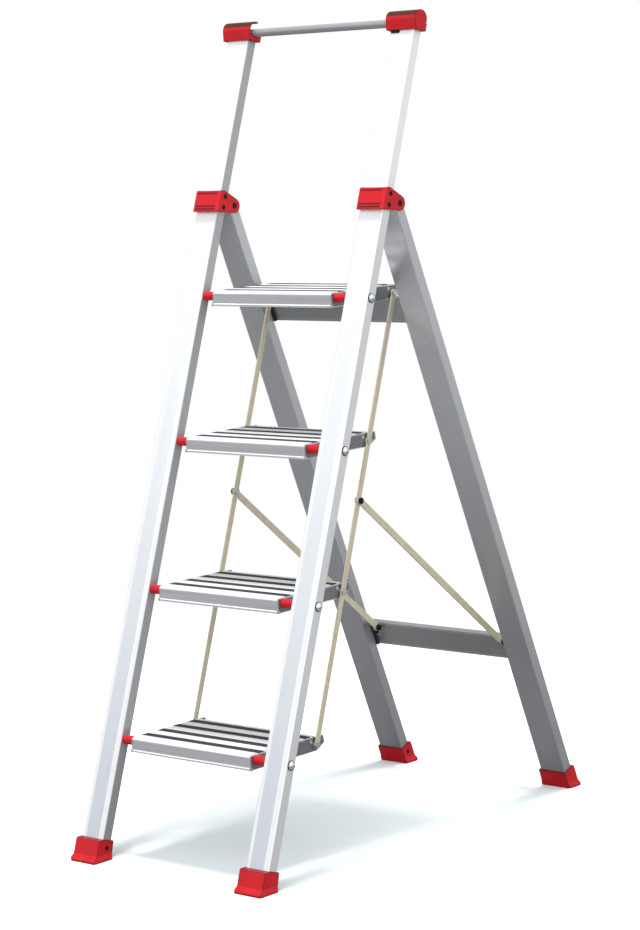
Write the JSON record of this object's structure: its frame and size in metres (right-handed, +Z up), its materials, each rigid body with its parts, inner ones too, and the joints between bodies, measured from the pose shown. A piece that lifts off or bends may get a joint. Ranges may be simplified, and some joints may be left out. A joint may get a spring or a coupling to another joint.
{
  "type": "step ladder",
  "caption": "Folding step ladder with flat box stiles, grooved treads on linked brackets, a hinged rear frame, red feet and caps, and a tubular hand rail.",
  "frame": {"origin": "on the floor, in the middle of the four feet", "axes": "+X across the ladder, +Y from the front stiles to the rear legs, +Z up"},
  "size_m": [0.4654, 0.8532, 1.4345],
  "materials": {
    "stile_aluminium": "satin anodised",
    "red_plastic": "moulded, semi-gloss",
    "black_steel": "blackened",
    "rail_aluminium": "satin anodised",
    "chromed_steel": "polished",
    "leg_aluminium": "satin grey",
    "bar_aluminium": "satin grey",
    "black_plastic": "moulded",
    "tread_aluminium": "satin, dark grip channels",
    "bracket_steel": "galvanised",
    "zinc_steel": "yellow zinc, satin",
    "bright_steel": "bright"
  },
  "bodies": {
    "front_frame": {"stile_left": "stile_aluminium", "stile_right": "stile_aluminium", "hinge_cap_left": "red_plastic", "hinge_cap_right": "red_plastic", "cap_screws": "black_steel", "hinge_pins": "black_steel", "front_foot_left": "red_plastic", "front_foot_right": "red_plastic", "front_foot_screws": "black_steel", "rail_tube": "rail_aluminium", "rail_grip_left": "red_plastic", "rail_grip_right": "red_plastic", "grip_screws": "black_steel", "step_bolts": "chromed_steel", "step_bushings": "red_plastic"},
    "rear_frame": {"rear_leg_left": "leg_aluminium", "rear_leg_right": "leg_aluminium", "upper_crossbar": "bar_aluminium", "lower_crossbar": "bar_aluminium", "crossbar_plugs": "black_plastic", "crossbar_pads": "black_plastic", "crossbar_bolts": "bright_steel", "rear_foot_left": "red_plastic", "rear_foot_right": "red_plastic", "rear_foot_screws": "black_steel", "brace_lugs": "bright_steel", "brace_pins": "black_steel"},
    "step_1": {"tread_1": "tread_aluminium", "bracket_left_1": "bracket_steel", "bracket_right_1": "bracket_steel", "rivets_1": "bright_steel", "link_pins_1": "bright_steel"},
    "step_2": {"tread_2": "tread_aluminium", "bracket_left_2": "bracket_steel", "bracket_right_2": "bracket_steel", "rivets_2": "bright_steel", "link_pins_2": "bright_steel"},
    "step_3": {"tread_3": "tread_aluminium", "bracket_left_3": "bracket_steel", "bracket_right_3": "bracket_steel", "rivets_3": "bright_steel", "link_pins_3": "bright_steel"},
    "step_4": {"tread_4": "tread_aluminium", "bracket_left_4": "bracket_steel", "bracket_right_4": "bracket_steel", "rivets_4": "bright_steel", "link_pins_4": "bright_steel"},
    "link_left": {"link_bar_left": "zinc_steel", "link_nut_left": "bright_steel"},
    "brace_left": {"brace_left": "zinc_steel", "brace_bolt_left": "black_steel"},
    "link_right": {"link_bar_right": "zinc_steel", "link_nut_right": "bright_steel"},
    "brace_right": {"brace_right": "zinc_steel", "brace_bolt_right": "black_steel"}
  },
  "joints": [
    {"name": "frame_fold", "type": "hinge", "parent": "front_frame", "child": "rear_frame", "pos_m": [0, 0.02014, 1.1055], "axis": [-1, 0, 0], "range_deg": [0, 35.83]},
    {"name": "step_1_tilt", "type": "hinge", "parent": "front_frame", "child": "step_1", "pos_m": [0, -0.06219, 0.95], "axis": [1, 0, 0], "range_deg": [0, 66]},
    {"name": "step_2_tilt", "type": "hinge", "parent": "front_frame", "child": "step_2", "pos_m": [0, -0.15146, 0.7], "axis": [1, 0, 0], "range_deg": [0, 66]},
    {"name": "step_3_tilt", "type": "hinge", "parent": "front_frame", "child": "step_3", "pos_m": [0, -0.24072, 0.45], "axis": [1, 0, 0], "range_deg": [0, 66]},
    {"name": "step_4_tilt", "type": "hinge", "parent": "front_frame", "child": "step_4", "pos_m": [0, -0.32999, 0.2], "axis": [1, 0, 0], "range_deg": [0, 66]},
    {"name": "link_left_swing", "type": "hinge", "parent": "step_1", "child": "link_left", "pos_m": [0, 0.08261, 0.945], "axis": [-1, 0, 0], "range_deg": [0, 66]},
    {"name": "link_right_swing", "type": "hinge", "parent": "step_1", "child": "link_right", "pos_m": [0, 0.08261, 0.945], "axis": [-1, 0, 0], "range_deg": [0, 66]},
    {"name": "brace_left_swing", "type": "hinge", "parent": "rear_frame", "child": "brace_left", "pos_m": [0, 0.31676, 0.28121], "axis": [-1, 0, 0], "range_deg": [0, 24.91]},
    {"name": "brace_right_swing", "type": "hinge", "parent": "rear_frame", "child": "brace_right", "pos_m": [0, 0.31676, 0.28121], "axis": [-1, 0, 0], "range_deg": [0, 24.91]}
  ],
  "couplings": [
    {"joint": "step_1_tilt", "follows": "frame_fold", "ratio": 1.842},
    {"joint": "step_2_tilt", "follows": "frame_fold", "ratio": 1.842},
    {"joint": "step_3_tilt", "follows": "frame_fold", "ratio": 1.842},
    {"joint": "step_4_tilt", "follows": "frame_fold", "ratio": 1.842},
    {"joint": "link_left_swing", "follows": "frame_fold", "ratio": 1.842},
    {"joint": "link_right_swing", "follows": "frame_fold", "ratio": 1.842},
    {"joint": "brace_left_swing", "follows": "frame_fold", "ratio": 0.6951},
    {"joint": "brace_right_swing", "follows": "frame_fold", "ratio": 0.6951}
  ]
}
